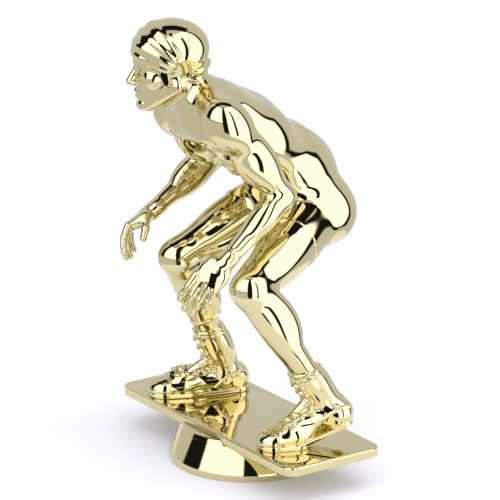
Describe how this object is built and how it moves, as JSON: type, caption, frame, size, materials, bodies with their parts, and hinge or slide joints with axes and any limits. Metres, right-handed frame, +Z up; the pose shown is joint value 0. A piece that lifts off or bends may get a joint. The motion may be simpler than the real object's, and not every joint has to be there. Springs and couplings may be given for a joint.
{
  "type": "figure trophy",
  "caption": "Trophy figure of a crouching wrestler on a rectangular plate and a flared round foot with a threaded insert, for mounting on a base.",
  "frame": {"origin": "centre of the foot's underside, on the axis of the thread", "axes": "+Z up along the thread axis, +X along the plate's length to the figure's left, -Y the way the figure faces"},
  "size_m": [0.082, 0.066, 0.127],
  "materials": {
    "gold_figure": "vacuum-metallised pale gold, mirror bright",
    "gold_plate": "vacuum-metallised pale gold, flat mirror",
    "gold_foot": "vacuum-metallised pale gold, mirror bright",
    "insert_brass": "turned and tapped, dull bright",
    "screw_steel": "zinc plated"
  },
  "bodies": {
    "root": {"base_foot": "gold_foot", "plate": "gold_plate", "thread_insert": "insert_brass", "plate_screws": "screw_steel", "boot_screws": "screw_steel", "left_boot": "gold_figure", "right_boot": "gold_figure", "left_leg": "gold_figure", "right_leg": "gold_figure", "hips": "gold_figure", "torso_front": "gold_figure", "torso_back": "gold_figure", "left_arm": "gold_figure", "right_arm": "gold_figure", "left_hand": "gold_figure", "right_hand": "gold_figure", "head_front": "gold_figure", "head_back": "gold_figure"}
  },
  "joints": []
}
